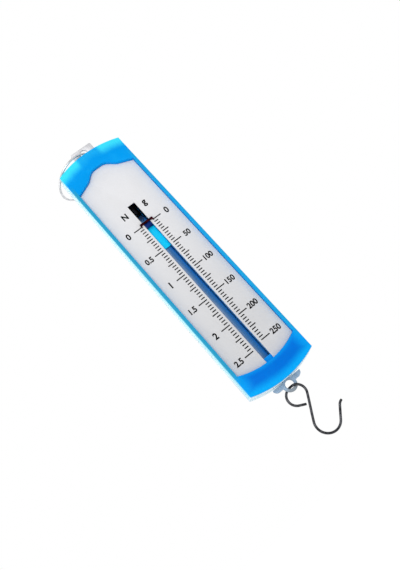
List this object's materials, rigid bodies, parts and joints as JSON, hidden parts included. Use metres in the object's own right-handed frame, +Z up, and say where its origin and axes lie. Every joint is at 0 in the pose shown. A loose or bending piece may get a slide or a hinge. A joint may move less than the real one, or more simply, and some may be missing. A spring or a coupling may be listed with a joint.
{
  "type": "spring dynamometer",
  "caption": "Flat blue bar-type spring dynamometer: slotted scale plate, sliding pointer on a spring-held pull rod, hanging ring at the top and S-hook below.",
  "frame": {"origin": "centre of the suspension hole in the hanger plate", "axes": "+Z up along the pull rod, +Y towards the back of the case, +X to the reader's right"},
  "size_m": [0.0487, 0.0316, 0.2306],
  "materials": {
    "case": "translucent blue moulded plastic, glossy",
    "plate": "pale grey printed sheet, satin",
    "hanger": "bright plated sheet",
    "ring": "bright plated wire",
    "spring": "dark drawn spring wire",
    "stud": "turned steel",
    "rod": "grey-blue moulded plastic",
    "carriage": "cyan moulded plastic",
    "pin": "plain steel wire",
    "block": "navy moulded plastic",
    "pointer": "dark red plastic",
    "eye": "grey-blue moulded plastic",
    "hook": "bent steel wire",
    "screw": "zinc-plated steel"
  },
  "bodies": {
    "case": {"front_shell": "case", "rear_shell": "case", "scale_plate": "plate", "hanger_plate": "hanger", "spring": "spring", "spring_stud_upper": "stud", "case_screw_1": "screw", "case_screw_2": "screw", "case_screw_3": "screw", "case_screw_4": "screw"},
    "slide": {"pull_rod": "rod", "carriage": "carriage", "carriage_pin": "pin", "pointer_block": "block", "pointer": "pointer", "pointer_pin": "pin", "spring_stud_lower": "stud", "hook_eye": "eye", "eye_pin": "pin"},
    "hook": {"s_hook": "hook"},
    "ring": {"hanging_ring": "ring"}
  },
  "joints": [
    {"name": "pull", "type": "slide", "parent": "case", "child": "slide", "axis": [0, 0, -1], "range_m": [0, 0.102], "stiffness_N_per_m": 25, "springref_m": -0.004, "deforming": ["spring"]},
    {"name": "hook_swing", "type": "hinge", "parent": "slide", "child": "hook", "pos_m": [0, 0.0021, -0.1911], "axis": [0, 1, 0], "range_deg": [-45, 45]},
    {"name": "ring_swing", "type": "hinge", "parent": "case", "child": "ring", "pos_m": [0, 0, 0], "axis": [0.7071, 0.7071, 0], "range_deg": [0, 218]}
  ]
}
